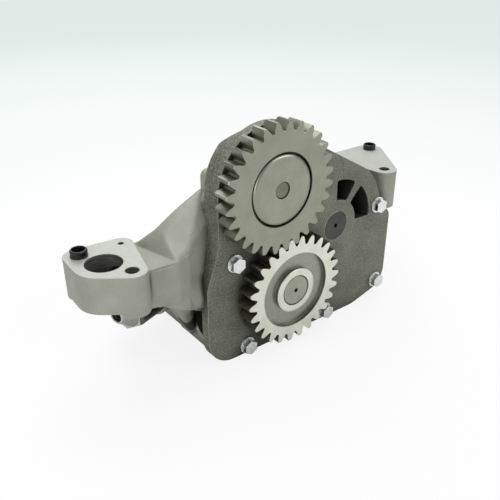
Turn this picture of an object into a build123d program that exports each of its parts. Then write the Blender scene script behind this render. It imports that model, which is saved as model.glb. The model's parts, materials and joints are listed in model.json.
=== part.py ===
"""Engine oil pump with a timing idler, two pump rotors and a relief valve.

The pump hangs under an engine on two machined feet. A drive gear on the front of the
driving rotor's shaft meshes with a larger idler gear, which turns on a pin in the front
cover. Oil comes in at the round mouth on the left side, goes round the two rotors and
leaves through the port in the top of the left foot.

The frame: X runs from the left foot to the right foot, Y runs from the gear side into
the pump, Z is up. The origin is on the idler's axis, at the gears' front faces.
Millimetres throughout.
"""

import os
from math import acos, cos, pi, radians, sin, tan

from build123d import *

os.makedirs("parts", exist_ok=True)

# Timing gears
timing_module = 4.0
timing_pressure_angle = 25.0
idler_teeth = 28
drive_teeth = 26
gear_width = 16.0
timing_backlash = 0.16
tip_clearance = 1.0
mesh_bearing = -79.54
idler_space_bearing = 51.28
tooth_chamfer = 0.8
root_rounding = 0.25

# Pump rotors
rotor_module = 6.0
rotor_pressure_angle = 20.0
rotor_teeth = 13
rotor_width = 68.0
rotor_backlash = 0.36
rotor_root_clearance = 1.5
rotor_bearing = 32.3
rotor_side_clearance = 0.06
rotor_tip_clearance = 0.12
root_relief = 0.45

# Shafts, pin and their fits
shaft_radius = 15.0
running_clearance = 0.04
seat_clearance = 0.02
shaft_chamfer = 0.8
bush_wall = 3.0
bush_length = 18.0
key_width = 8.0
key_height = 7.0
key_depth_in_shaft = 4.0
centre_drill_radius = 2.2
pin_journal_radius = 25.0
pin_head_radius = 31.8
pin_head_thickness = 5.0
pin_head_gap = 1.0
pin_spigot_radius = 20.0
pin_spigot_length = 17.0
pin_bore_radius = 7.4
idler_bush_wall = 2.5
thrust_gap = 0.3
pin_bolt_radius = 6.0
pin_bolt_length = 18.0
pin_bolt_flats = 18.0
pin_bolt_head = 7.5
pin_washer_radius = 23.5
pin_washer_thickness = 4.0
pin_bore_depth = 9.0
pin_plug_set_in = 0.7
pin_plug_thickness = 3.0
thrust_washer_radius = 38.0
gear_web_inner = 22.5
gear_web_outer = 38.5
gear_web_depth = 4.0
spacer_radius = 21.0
spacer_gap = 0.2

# Front cover
gear_to_cover = 2.0
cover_plate_thickness = 10.0
cover_rim_thickness = 20.0
cover_rim_radius = 55.0
rim_slope_bearing = 45.0
rim_slope_start = 1.3
rim_slope_end = 18.8
pin_boss_margin = 3.5
rim_gap = 0.6
cover_floor = -168.5
spigot_radius = 49.2
spigot_depth = 20.0
spigot_clearance = 0.08
window_depth = 24.0
window_inner_radius = 26.5
window_outer_radius = 47.6
window_corner = 2.6
window_spans = [(-2.0, 50.0), (59.0, 33.0)]

# Cover bolts, M8 with flange
bolt_radius = 4.0
bolt_hole_radius = 4.4
bolt_flange_radius = 8.5
bolt_flange_thickness = 1.6
bolt_head_height = 7.5
bolt_hex_flats = 13.0
bolt_grip_in_housing = 18.0
bolt_places = [(-38.7, -65.3), (-25.2, -159.2), (76.1, -159.2), (144.2, -57.2), (151.1, -148.4)]
bolt_boss_radius = 9.0
bolt_boss_length = 12.0
dowel_radius = 4.0
dowel_length = 18.0
dowel_places = [(-44.0, -112.0), (154.0, -100.0)]

# Lug screw, M6 with a socket head
lug_place = (-41.5, 6.0)
lug_screw_radius = 3.0
lug_screw_grip = 14.0
lug_hole_radius = 3.3
lug_head_radius = 5.0
lug_head_height = 6.0
lug_head_gap = 0.5
lug_socket_flats = 5.0
lug_socket_depth = 3.0

# Housing
chamber_wall = 10.0
rear_wall = 24.0
rear_boss_wall = 9.0
rear_boss_length = 5.0
flange_depth = 14.0
front_block_back = 90.0
block_back = 126.0
web_thickness = 13.0
web_gap = 0.3

# Feet and arms
foot_top = -30.0
foot_bolt_radius = 5.5
left_foot_thickness = 32.0
port_boss_wall = 3.0
port_boss_bottom = -66.0
left_bolt_seat = -65.5
left_sleeve_seat = -64.0
spot_face_radius = 9.0
right_foot_bottom = -70.0
left_foot_port = (-156.0, 28.0)
left_foot_bolt = (-144.0, 4.5)
left_foot_sleeve_place = (-166.0, 50.5)
left_foot_oil_hole = (-130.0, 50.0)
port_radius = 15.0
port_depth = 30.0
oil_hole_radius = 2.5
oil_hole_depth = 16.0
foot_port_margin = 9.0
foot_bolt_margin = 6.5
foot_sleeve_margin = 6.0
foot_oil_hole_margin = 7.5
right_foot_bolt = (172.0, 36.0)
right_foot_sleeve_place = (208.0, 91.0)
right_foot_corner = (166.0, 92.0)
right_foot_corner_radius = 14.0
right_foot_bolt_margin = 7.5
right_foot_sleeve_margin = 7.5
arm_step = 10.0
arm_rear_step = 30.0
right_arm_step = 1.0
arm_bottom = -86.0
gallery_radius = 11.0
sleeve_wall = 1.5
sleeve_above = 6.0
sleeve_below = 11.0
sleeve_chamfer = 0.8

# Suction mouth
suction_radius = 15.4
suction_rim_radius = 17.2
suction_rim_depth = 1.5
suction_place = (47.8, -140.2)
suction_face_x = -55.0
suction_depth = 20.0
suction_turn = 7.0
suction_passage_radius = 11.0
suction_passage_margin = 3.0
suction_passage_length = 42.0
suction_pocket_width = 20.0
suction_pocket_depth = 7.0
suction_pocket_span = (-138.0, 130.0)

# Relief valve, its axis level and turned towards the gear side
valve_mouth = (-124.0, 90.0, -125.0)
valve_turn = 200.0
valve_cap_cone = 12.0
valve_mouth_radius = 6.0
valve_rim_radius = 7.6
valve_cap_flats = 36.0
valve_cap_hex_length = 8.0
valve_body_radius = 20.5
valve_body_length = 26.0
valve_body_bore = 14.0
valve_thread_radius = 16.5
valve_thread_length = 18.0
valve_boss_radius = 23.0
valve_boss_length = 52.0
valve_feed_depth = 16.0
valve_washer_thickness = 2.0
piston_clearance = 0.05
piston_length = 16.0
valve_seat_radius = 10.0
valve_seat_thickness = 3.0
valve_cap_spigot = 10.0
piston_wall = 2.5
piston_crown = 4.0
spring_wire = 2.2
spring_turns = 5.5
spring_clearance = 0.7

# Values worked out from the sizes above
idler_pitch = timing_module * idler_teeth / 2
drive_pitch = timing_module * drive_teeth / 2
timing_centres = idler_pitch + drive_pitch
idler_tip = idler_pitch + timing_module
drive_tip = drive_pitch + timing_module
drive_axis = (
    timing_centres * cos(radians(mesh_bearing)),
    timing_centres * sin(radians(mesh_bearing)),
)
rotor_pitch = rotor_module * rotor_teeth / 2
rotor_tip = rotor_pitch + rotor_module
rotor_centres = 2 * rotor_pitch
driven_axis = (
    drive_axis[0] + rotor_centres * cos(radians(rotor_bearing)),
    drive_axis[1] + rotor_centres * sin(radians(rotor_bearing)),
)
idler_axis = (0.0, 0.0)
cover_front = gear_width + gear_to_cover
plate_back = cover_front + cover_plate_thickness
rim_back = cover_front + cover_rim_thickness
chamber_front = plate_back + spigot_depth
chamber_back = chamber_front + rotor_width + 2 * rotor_side_clearance
housing_back = chamber_back + rear_wall
chamber_radius = rotor_tip + rotor_tip_clearance
barrel_radius = chamber_radius + chamber_wall
flange_back = plate_back + flange_depth
bush_outer = shaft_radius + bush_wall
bush_back = chamber_back + bush_length
sleeve_radius = foot_bolt_radius + sleeve_wall
web_back = rim_back + web_thickness
lug_seat = web_back - lug_head_height - lug_head_gap


def facing(depth):
    """The plane across the gear axes at this depth, as the gear side sees it."""
    return Plane(origin=(0, depth, 0), x_dir=(1, 0, 0), z_dir=(0, -1, 0))


def level(height):
    """The horizontal plane at this height."""
    return Plane.XY.offset(height)


def along_y(centre, radius, y_from, y_to, mode=Mode.ADD, taper=0.0):
    """A round piece or bore on an axis that runs the way the gears' axes do."""
    with BuildSketch(facing(y_to)) as profile:
        with Locations(centre):
            Circle(radius)
    extrude(profile.sketch, amount=y_to - y_from, taper=taper, mode=mode)


def upright(centre, radius, z_from, z_to, mode=Mode.ADD, taper=0.0):
    """A round piece or bore that stands upright."""
    with BuildSketch(level(z_to)) as profile:
        with Locations(centre):
            Circle(radius)
    extrude(profile.sketch, amount=-(z_to - z_from), taper=taper, mode=mode)


def slab(points, radii, y_from, y_to, mode=Mode.ADD, taper=0.0):
    """A plate across the gear axes whose outline has rounded corners."""
    with BuildSketch(facing(y_to)) as profile:
        with BuildLine():
            FilletPolyline(*points, radius=radii, close=True)
        make_face()
    extrude(profile.sketch, amount=y_to - y_from, taper=taper, mode=mode)


def hulled(circles, z_from, z_to, mode=Mode.ADD, taper=0.0):
    """An upright block whose plan is the belt round some circles."""
    with BuildSketch(level(z_to)) as profile:
        with BuildLine(mode=Mode.PRIVATE) as rings:
            for place, radius in circles:
                CenterArc(place, radius, 0, 360)
        make_hull(rings.edges())
    extrude(profile.sketch, amount=-(z_to - z_from), taper=taper, mode=mode)


def figure_eight(radius, y_from, y_to, mode=Mode.ADD):
    """The two rotor circles joined where they overlap."""
    with BuildSketch(facing(y_to)) as profile:
        with Locations(drive_axis, driven_axis):
            Circle(radius)
    extrude(profile.sketch, amount=y_to - y_from, mode=mode)


def polar(radius, bearing):
    """A point of the gear plane at this radius and bearing in radians."""
    return (radius * cos(bearing), radius * sin(bearing))


def involute_angle(radius, base):
    """How far the involute has turned when it reaches this radius."""
    slant = acos(base / radius)
    return tan(slant) - slant


def tooth_outline(teeth, module, pressure_angle, backlash, root_clearance, relief):
    """One tooth and half a space each side, about the bearing 0, as a list of edges.

    The flanks are involutes, drawn as arcs through three of their points. The roots are
    rounded, or, where a relief is given, drawn in a little under the base circle as a hob
    leaves them.
    """
    pitch = module * teeth / 2
    base = pitch * cos(radians(pressure_angle))
    tip = pitch + module
    root = pitch - module - root_clearance
    half_step = pi / teeth
    half_tooth = pi / (2 * teeth) - backlash / (2 * pitch)
    at_base = half_tooth + involute_angle(pitch, base)
    start = max(base, root + root_rounding * module)
    radii = (start, (start + tip) / 2, tip)
    spans = [at_base - involute_angle(radius, base) for radius in radii]
    foot_radius = root if relief > 0 else start
    foot_span = spans[0] - relief / root
    edges = []
    edges.append(TangentArc(
        polar(root, -half_step), polar(foot_radius, -foot_span),
        tangent=(sin(half_step), cos(half_step)),
    ))
    if relief > 0:
        edges.append(Line(polar(foot_radius, -foot_span), polar(start, -spans[0])))
    edges.append(ThreePointArc(*[polar(radius, -span) for radius, span in zip(radii, spans)]))
    edges.append(ThreePointArc(polar(tip, -spans[2]), polar(tip, 0), polar(tip, spans[2])))
    edges.append(ThreePointArc(*[polar(radius, span) for radius, span in zip(radii[::-1], spans[::-1])]))
    if relief > 0:
        edges.append(Line(polar(start, spans[0]), polar(foot_radius, foot_span)))
    edges.append(TangentArc(
        polar(root, half_step), polar(foot_radius, foot_span),
        tangent=(sin(half_step), -cos(half_step)),
    ))
    return edges


def gear_blank(
    teeth, module, pressure_angle, backlash, root_clearance, relief, first_tooth, axis, y_from, y_to
):
    """A spur gear blank in the present part, its first tooth at this bearing in degrees."""
    with BuildSketch(Plane.XY) as gear:
        with BuildLine():
            with BuildLine(mode=Mode.PRIVATE):
                tooth = tooth_outline(teeth, module, pressure_angle, backlash, root_clearance, relief)
            for index in range(teeth):
                turn = first_tooth + index * 360 / teeth
                add([edge.rotate(Axis.Z, turn) for edge in tooth])
        make_face()
    face = gear.sketch.moved(Location(facing(y_to)) * Location((axis[0], axis[1], 0)))
    extrude(face, amount=y_to - y_from)


def chamfered_tips(tip_radius, axis, y_from, y_to):
    """Turn a small bevel on the tips at both faces of a gear."""
    low = tip_radius - tooth_chamfer
    outer = tip_radius + 1
    with BuildSketch(Plane(origin=(axis[0], 0, axis[1]), x_dir=(1, 0, 0), z_dir=(0, 0, 1))) as bevel:
        with BuildLine():
            Polyline((low, y_from), (outer, y_from), (outer, y_from + tooth_chamfer + 1), close=True)
        make_face()
        with BuildLine():
            Polyline((low, y_to), (outer, y_to), (outer, y_to - tooth_chamfer - 1), close=True)
        make_face()
    revolve(bevel.sketch, axis=Axis((axis[0], 0, axis[1]), (0, 1, 0)), mode=Mode.SUBTRACT)


valve_direction = Vector(cos(radians(valve_turn)), sin(radians(valve_turn)), 0)
valve_shoulder = valve_cap_cone + valve_cap_hex_length + valve_body_length
valve_face = valve_shoulder + valve_washer_thickness
valve_inner_end = valve_shoulder + valve_thread_length + valve_washer_thickness
valve_seat = valve_inner_end - valve_seat_thickness
piston_back = valve_seat - piston_length


def valve_plane(station):
    """The plane across the relief valve, this far in from its mouth."""
    origin = Vector(*valve_mouth) - valve_direction * station
    return Plane(origin=origin, x_dir=(0, 0, 1), z_dir=valve_direction)


def along_valve(radius, near, far, mode=Mode.ADD):
    """A round piece or bore on the relief valve's axis, between two stations."""
    with BuildSketch(valve_plane(far)) as profile:
        Circle(radius)
    extrude(profile.sketch, amount=far - near, mode=mode)


def hexagon_along_y(centre, flats, y_from, y_to):
    """A hexagon head or nut on an axis along Y."""
    with BuildSketch(facing(y_to)) as profile:
        with Locations(centre):
            RegularPolygon(flats / 2, 6, major_radius=False, rotation=30)
    extrude(profile.sketch, amount=y_to - y_from)


def flanged_bolt(centre, seat, length):
    """A flanged hexagon bolt whose head is on the gear side of its seat."""
    hexagon_along_y(centre, bolt_hex_flats, seat - bolt_head_height, seat)
    along_y(centre, bolt_flange_radius, seat - bolt_flange_thickness, seat)
    along_y(centre, bolt_radius - seat_clearance, seat, seat + length)


def key_slot(axis, side, y_from, y_to, reach_in, reach_out, mode=Mode.SUBTRACT):
    """A keyway, or its key, on one side of a shaft, between two distances from the axis."""
    middle = (reach_in + reach_out) / 2
    with BuildSketch(facing(y_to)) as slot:
        with Locations((axis[0] + side * middle, axis[1])):
            Rectangle(reach_out - reach_in, key_width)
    extrude(slot.sketch, amount=y_to - y_from, mode=mode)


# Front cover
cover_outline = [
    (-55.0, 0.0), (-55.0, -50.0), (-68.5, -84.0), (-68.5, cover_floor), (118.0, cover_floor),
    (165.5, -156.0), (165.5, -72.0), (148.0, -51.0), (134.6, -19.6), (3.2, 54.9),
]
cover_corners = [1.0, 24.0, 14.0, 28.0, 40.0, 24.0, 10.0, 12.0, 55.0, 1.0]
cover_side_top = (0.0, -55.0, -55.0, rim_back)
cover_side_middle = (-46.0, -55.0, -64.5, rim_back)
cover_side_low = (-84.0, -68.5, -68.5, plate_back)
cover_side_upper_inner = -28.0
cover_side_lower_inner = -48.0


def cover_profile(depth, growth=0.0):
    """The cover's outline, grown all round by a clearance."""
    with BuildSketch(facing(depth)) as outline:
        with BuildLine():
            FilletPolyline(*cover_outline, radius=cover_corners, close=True)
        make_face()
        Circle(cover_rim_radius)
        if growth > 0:
            offset(amount=growth)
    return outline.sketch


def cover_side(high, low, inner, growth=0.0, mode=Mode.ADD):
    """The cover's left side between two stations, where the rim thins into the plate.

    A station is a height, the x of the side's front edge, the x of its back edge and
    the depth of that back edge.
    """
    sections = []
    for station, rise in ((high, growth), (low, -growth)):
        height, front_x, back_x, back_y = station
        with BuildSketch(level(height + rise)) as section:
            with BuildLine():
                Polyline(
                    (front_x - growth, cover_front), (back_x - growth, back_y + growth),
                    (inner + growth, back_y + growth), (inner + growth, cover_front), close=True,
                )
            make_face()
        sections.append(section.sketch)
    loft(sections, ruled=True, mode=mode)


def ring_sector(depth, centre, inner_radius, outer_radius, start, span):
    """A sector of a ring with rounded corners, from this bearing in degrees."""
    bearings = [radians(start), radians(start + span / 2), radians(start + span)]
    inner = [polar(inner_radius, bearing) for bearing in bearings]
    outer = [polar(outer_radius, bearing) for bearing in bearings[::-1]]
    with BuildSketch(facing(depth)) as placed:
        with Locations(centre):
            with BuildSketch(Plane.XY, mode=Mode.PRIVATE) as sector:
                with BuildLine():
                    ThreePointArc(*inner)
                    Line(inner[2], outer[0])
                    ThreePointArc(*outer)
                    Line(outer[2], inner[0])
                make_face()
                fillet(sector.vertices(), radius=window_corner)
            add(sector.sketch)
    return placed.sketch


with BuildPart() as front_cover:
    along_y(idler_axis, cover_rim_radius, cover_front, rim_back)
    slope = radians(rim_slope_bearing)
    slope_plane = Plane(
        origin=(0, 0, 0), x_dir=(cos(slope), 0, sin(slope)), z_dir=(-sin(slope), 0, cos(slope))
    )
    with BuildSketch(slope_plane) as slope_cut:
        with BuildLine():
            Polyline(
                (rim_slope_start, rim_back), (rim_slope_end, plate_back), (cover_rim_radius + 1, plate_back),
                (cover_rim_radius + 1, rim_back), close=True,
            )
        make_face()
    extrude(slope_cut.sketch, amount=cover_rim_radius + 1, both=True, mode=Mode.SUBTRACT)
    along_y(idler_axis, pin_washer_radius + pin_boss_margin, cover_front, rim_back)
    extrude(cover_profile(plate_back), amount=cover_plate_thickness)
    cover_side(cover_side_top, cover_side_middle, cover_side_upper_inner)
    cover_side(cover_side_middle, cover_side_low, cover_side_lower_inner)
    figure_eight(spigot_radius, plate_back, chamber_front)
    for shaft_axis in (drive_axis, driven_axis):
        along_y(shaft_axis, shaft_radius + running_clearance, cover_front, chamber_front, Mode.SUBTRACT)
    along_y(idler_axis, pin_spigot_radius + seat_clearance, cover_front, rim_back, Mode.SUBTRACT)
    for place in bolt_places:
        along_y(place, bolt_hole_radius, cover_front, plate_back, Mode.SUBTRACT)
    for place in dowel_places:
        along_y(place, dowel_radius, plate_back - dowel_length / 2, plate_back, Mode.SUBTRACT)
    along_y(lug_place, lug_screw_radius, rim_back - lug_screw_grip, rim_back, Mode.SUBTRACT)
    for start, span in window_spans:
        window = ring_sector(
            cover_front + window_depth, driven_axis, window_inner_radius, window_outer_radius, start, span
        )
        extrude(window, amount=window_depth, mode=Mode.SUBTRACT)
front_cover.part.label = "front_cover"
export_step(front_cover.part, "parts/front_cover.step")

# Pump housing
housing_flange = [
    (-55.0, -84.0), (-55.0, cover_floor), (117.0, cover_floor), (164.0, -156.0),
    (164.0, -72.0), (146.5, -51.0), (133.0, -20.0), (70.0, 14.0), (20.0, -20.0), (-54.0, -48.0),
]
housing_flange_corners = [1.0, 6.0, 40.0, 22.5, 10.0, 12.0, 55.0, 10.0, 10.0, 6.0]
front_block = [
    (-62.0, -90.0), (-55.0, -118.0), (-55.0, cover_floor), (106.0, cover_floor), (118.0, -150.0),
    (100.0, -60.0), (20.0, -30.0), (-44.0, -30.0), (-60.0, -55.0),
]
front_block_corners = [8.0, 10.0, 6.0, 8.0, 12.0, 20.0, 10.0, 8.0, 8.0]
rear_block = [
    (-60.0, -92.0), (-54.0, -118.0), (-54.0, cover_floor), (106.0, cover_floor), (118.0, -150.0),
    (100.0, -60.0), (30.0, -30.0), (10.0, -32.0), (-20.0, -56.0), (-44.0, -69.0),
]
rear_block_corners = [8.0, 10.0, 6.0, 8.0, 12.0, 20.0, 8.0, 6.0, 8.0, 8.0]
web_outline = [
    (-56.0, -60.0), (-56.0, -9.0), (-50.0, -3.0), (-50.0, 15.0), (-33.0, 15.0), (-30.0, -14.0),
    (-16.0, -30.0), (30.0, -30.0), (64.0, -6.0), (100.0, -30.0), (60.0, -60.0),
]
web_corners = [1.0, 2.0, 2.0, 6.0, 6.0, 10.0, 12.0, 12.0, 10.0, 6.0, 6.0]

# The left arm's plans as circles, and its outline from the gear side
left_arm_plan = [
    ((-128.0, 24.0), 12.0), ((-102.0, 22.0), 11.0), ((-91.0, 20.0), 6.0), ((-126.0, 52.0), 10.0),
    ((-62.0, 50.0), 14.0),
]
left_arm_rear_plan = [((-126.0, 52.0), 10.0), ((-66.0, 84.0), 12.0), ((-62.0, 50.0), 14.0)]
left_arm_outline = [
    (-142.0, foot_top), (-142.0, -74.0), (-118.0, -76.0), (-85.0, -95.0), (-55.0, -121.0),
    (-46.0, -121.0), (-46.0, foot_top),
]
left_arm_corners = [1.0, 4.0, 10.0, 10.0, 1.0, 1.0, 1.0]
left_arm_back = 100.0

# Upright sections of the shoulder between the left arm and the upper web
shoulder_sections = [
    (-110.0, [(50.0, -60.0), (50.0, -43.0), (56.0, -39.5), (61.0, -43.0), (66.0, -60.0)]),
    (-97.0, [(38.0, -60.0), (38.0, -29.0), (50.0, -28.0), (58.0, -40.0), (80.0, -60.0)]),
    (-91.0, [(33.0, -60.0), (33.0, -36.0), (50.0, -22.5), (59.0, -36.0), (84.0, -60.0)]),
    (-80.0, [(30.0, -60.0), (30.0, -46.0), (50.0, -17.2), (59.0, -31.0), (86.0, -60.0)]),
    (-40.0, [(34.0, -60.0), (34.0, -24.0), (50.0, 2.0), (60.0, -12.0), (100.0, -60.0)]),
]
right_arm_plan = [
    ((120.0, 60.0), 20.0), ((120.0, 100.0), 20.0), ((168.0, 60.0), 14.0), ((168.0, 90.0), 14.0),
]


def shoulder_section(x, points):
    """One upright section of the shoulder between the left arm and the upper web."""
    with BuildSketch(Plane(origin=(x, 0, 0), x_dir=(0, 1, 0), z_dir=(1, 0, 0))) as section:
        with BuildLine():
            Polyline(*points, close=True)
        make_face()
    return section.sketch


def left_foot():
    """The left foot, with a low boss under each of its holes and under the port."""
    foot_underside = foot_top - left_foot_thickness
    bolt_boss = foot_bolt_radius + foot_bolt_margin
    sleeve_boss = sleeve_radius + foot_sleeve_margin
    with BuildPart() as foot:
        hulled(
            [
                (left_foot_port, port_radius + foot_port_margin),
                (left_foot_bolt, bolt_boss),
                (left_foot_sleeve_place, sleeve_boss),
                (left_foot_oil_hole, oil_hole_radius + foot_oil_hole_margin),
            ],
            foot_underside,
            foot_top,
        )
        upright(left_foot_bolt, bolt_boss, left_bolt_seat, foot_underside)
        upright(left_foot_sleeve_place, sleeve_boss, left_sleeve_seat, foot_underside)
        upright(left_foot_port, port_radius + port_boss_wall, port_boss_bottom, foot_underside)
    return foot.part


def left_arm():
    """The arm from the left foot to the block, its underside falling to the block's wall."""
    with BuildPart() as arm:
        hulled(left_arm_plan, cover_floor, foot_top - arm_step)
        hulled(left_arm_rear_plan, cover_floor, foot_top - arm_rear_step)
        slab(left_arm_outline, left_arm_corners, 0.0, left_arm_back, Mode.INTERSECT)
    return arm.part


with BuildPart() as pump_housing:
    slab(housing_flange, housing_flange_corners, plate_back, flange_back)
    slab(front_block, front_block_corners, plate_back, front_block_back)
    slab(rear_block, rear_block_corners, front_block_back, block_back)
    slab(web_outline, web_corners, rim_back + web_gap, web_back)
    figure_eight(barrel_radius, plate_back, housing_back)
    for place in bolt_places:
        along_y(place, bolt_boss_radius, plate_back, flange_back + bolt_boss_length)
    for shaft_axis in (drive_axis, driven_axis):
        along_y(shaft_axis, bush_outer + rear_boss_wall, housing_back, housing_back + rear_boss_length)

    # Left foot, and the arm that carries it
    add(left_foot())
    add(left_arm())
    loft([shoulder_section(x, points) for x, points in shoulder_sections], ruled=True)

    # Right foot and its arm
    hulled(
        [
            (right_foot_bolt, foot_bolt_radius + right_foot_bolt_margin),
            (right_foot_sleeve_place, sleeve_radius + right_foot_sleeve_margin),
            (right_foot_corner, right_foot_corner_radius),
        ],
        right_foot_bottom,
        foot_top,
    )
    hulled(right_arm_plan, arm_bottom, foot_top - right_arm_step)

    # Relief valve boss
    with BuildSketch(valve_plane(valve_face)) as valve_boss:
        Circle(valve_boss_radius)
    extrude(valve_boss.sketch, amount=-valve_boss_length)

    # Room for the cover's plate, rim and spigot, and the chamber
    extrude(cover_profile(plate_back, rim_gap), amount=cover_plate_thickness, mode=Mode.SUBTRACT)
    along_y(idler_axis, cover_rim_radius + rim_gap, cover_front, rim_back + web_gap, Mode.SUBTRACT)
    cover_side(cover_side_top, cover_side_middle, cover_side_upper_inner, rim_gap, Mode.SUBTRACT)
    cover_side(cover_side_middle, cover_side_low, cover_side_lower_inner, rim_gap, Mode.SUBTRACT)
    figure_eight(spigot_radius + spigot_clearance, plate_back, chamber_front, Mode.SUBTRACT)
    figure_eight(chamber_radius, chamber_front, chamber_back, Mode.SUBTRACT)
    for shaft_axis in (drive_axis, driven_axis):
        along_y(shaft_axis, bush_outer + seat_clearance, chamber_back, bush_back, Mode.SUBTRACT)
        along_y(shaft_axis, shaft_radius + 1.0, bush_back, bush_back + 2.0, Mode.SUBTRACT)

    # Fastener and dowel holes
    for place in bolt_places:
        along_y(place, bolt_radius, plate_back, plate_back + bolt_grip_in_housing + 4.0, Mode.SUBTRACT)
    for place in dowel_places:
        along_y(place, dowel_radius, plate_back, plate_back + dowel_length / 2, Mode.SUBTRACT)
    along_y(lug_place, lug_hole_radius, rim_back, web_back, Mode.SUBTRACT)
    along_y(lug_place, lug_head_radius + lug_head_gap, lug_seat, web_back, Mode.SUBTRACT)

    # Ports and holes of the feet
    upright(left_foot_port, port_radius, foot_top - port_depth, foot_top, Mode.SUBTRACT)
    upright(left_foot_oil_hole, oil_hole_radius, foot_top - oil_hole_depth, foot_top, Mode.SUBTRACT)
    for place in (left_foot_bolt, right_foot_bolt, left_foot_sleeve_place, right_foot_sleeve_place):
        upright(place, foot_bolt_radius, arm_bottom - 1.0, foot_top, Mode.SUBTRACT)
    for place, seat in ((left_foot_bolt, left_bolt_seat), (left_foot_sleeve_place, left_sleeve_seat)):
        upright(place, spot_face_radius, arm_bottom - 1.0, seat, Mode.SUBTRACT)
    for place in (left_foot_sleeve_place, right_foot_sleeve_place):
        upright(place, sleeve_radius + seat_clearance, foot_top - sleeve_below, foot_top, Mode.SUBTRACT)

    # Oil gallery from the chamber to the left foot's port
    gallery_start = Vector(left_foot_port[0], left_foot_port[1], foot_top - port_depth + gallery_radius)
    gallery_end = Vector(drive_axis[0], (chamber_front + chamber_back) / 2, drive_axis[1] + 30.0)
    with BuildSketch(Plane(origin=gallery_start, z_dir=gallery_end - gallery_start)) as gallery:
        Circle(gallery_radius)
    extrude(gallery.sketch, amount=(gallery_end - gallery_start).length, mode=Mode.SUBTRACT)

    # Suction mouth with its machined rim, then behind the cover's spigot to the rotors
    mouth = Plane(
        origin=(suction_face_x, suction_place[0], suction_place[1]), x_dir=(0, 1, 0), z_dir=(-1, 0, 0)
    )
    with BuildSketch(mouth) as mouth_bore:
        Circle(suction_radius)
    extrude(mouth_bore.sketch, amount=-suction_depth, mode=Mode.SUBTRACT)
    with BuildSketch(mouth) as mouth_rim:
        Circle(suction_rim_radius)
    extrude(mouth_rim.sketch, amount=-suction_rim_depth, mode=Mode.SUBTRACT)
    passage_shift = chamber_front + suction_passage_margin + suction_passage_radius - suction_place[0]
    with BuildSketch(mouth.offset(-suction_depth)) as turn:
        with BuildLine(mode=Mode.PRIVATE) as turn_ends:
            CenterArc((0, 0), suction_passage_radius, 0, 360)
            CenterArc((passage_shift, 0), suction_passage_radius, 0, 360)
        make_hull(turn_ends.edges())
    extrude(turn.sketch, amount=-suction_turn, mode=Mode.SUBTRACT)
    with BuildSketch(mouth.offset(-suction_depth)) as passage:
        with Locations((passage_shift, 0)):
            Circle(suction_passage_radius)
    extrude(passage.sketch, amount=-suction_passage_length, mode=Mode.SUBTRACT)
    suction_pocket = ring_sector(
        suction_place[0] + passage_shift + suction_pocket_width / 2,
        drive_axis, chamber_radius - window_corner * 2, chamber_radius + suction_pocket_depth,
        suction_pocket_span[0], suction_pocket_span[1],
    )
    extrude(suction_pocket, amount=suction_pocket_width, mode=Mode.SUBTRACT)

    # Relief valve bore
    along_valve(valve_thread_radius, valve_face, valve_inner_end, Mode.SUBTRACT)
    along_valve(valve_seat_radius, valve_inner_end, valve_inner_end + valve_feed_depth, Mode.SUBTRACT)
pump_housing.part.label = "pump_housing"
export_step(pump_housing.part, "parts/pump_housing.step")

# Idler pin, with its bolt, washer and plug
with BuildPart() as idler_pin:
    along_y(idler_axis, pin_head_radius, 0.0, pin_head_thickness)
    chamfer(idler_pin.edges().filter_by(GeomType.CIRCLE), length=shaft_chamfer)
    along_y(idler_axis, pin_journal_radius, pin_head_thickness, cover_front)
    along_y(idler_axis, pin_spigot_radius, cover_front, cover_front + pin_spigot_length)
    along_y(idler_axis, pin_bore_radius, 0.0, pin_bore_depth, Mode.SUBTRACT)
    along_y(idler_axis, pin_bolt_radius, rim_back - pin_bolt_length, rim_back, Mode.SUBTRACT)
idler_pin.part.label = "idler_pin"
export_step(idler_pin.part, "parts/idler_pin.step")

with BuildPart() as idler_pin_plug:
    plug_back = pin_plug_set_in + pin_plug_thickness
    along_y(idler_axis, pin_bore_radius - seat_clearance, pin_plug_set_in, plug_back)
    chamfer(idler_pin_plug.faces().sort_by(Axis.Y)[0].edges(), length=0.4)
idler_pin_plug.part.label = "idler_pin_plug"
export_step(idler_pin_plug.part, "parts/idler_pin_plug.step")

with BuildPart() as idler_pin_washer:
    along_y(idler_axis, pin_washer_radius, rim_back, rim_back + pin_washer_thickness)
    along_y(
        idler_axis, pin_bolt_radius + seat_clearance,
        rim_back, rim_back + pin_washer_thickness, Mode.SUBTRACT,
    )
    chamfer(idler_pin_washer.faces().sort_by(Axis.Y)[-1].edges().sort_by(SortBy.RADIUS)[-1], length=0.8)
idler_pin_washer.part.label = "idler_pin_washer"
export_step(idler_pin_washer.part, "parts/idler_pin_washer.step")

pin_bolt_seat = rim_back + pin_washer_thickness
with BuildPart() as idler_pin_bolt:
    hexagon_along_y(idler_axis, pin_bolt_flats, pin_bolt_seat, pin_bolt_seat + pin_bolt_head)
    along_y(idler_axis, pin_bolt_radius - seat_clearance, rim_back - pin_bolt_length + 2.0, pin_bolt_seat)
idler_pin_bolt.part.label = "idler_pin_bolt"
export_step(idler_pin_bolt.part, "parts/idler_pin_bolt.step")

# Idler gear, its bush and thrust washer
bush_radius = pin_journal_radius + running_clearance + idler_bush_wall
idler_recess_depth = pin_head_thickness + thrust_gap
with BuildPart() as idler_gear:
    gear_blank(
        idler_teeth, timing_module, timing_pressure_angle, timing_backlash, tip_clearance, 0.0,
        idler_space_bearing + 180 / idler_teeth, idler_axis, 0.0, gear_width,
    )
    chamfered_tips(idler_tip, idler_axis, 0.0, gear_width)
    along_y(idler_axis, bush_radius + seat_clearance, 0.0, gear_width, Mode.SUBTRACT)
    along_y(idler_axis, pin_head_radius + pin_head_gap, 0.0, idler_recess_depth, Mode.SUBTRACT)
idler_gear.part.label = "idler_gear"
export_step(idler_gear.part, "parts/idler_gear.step")

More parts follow.
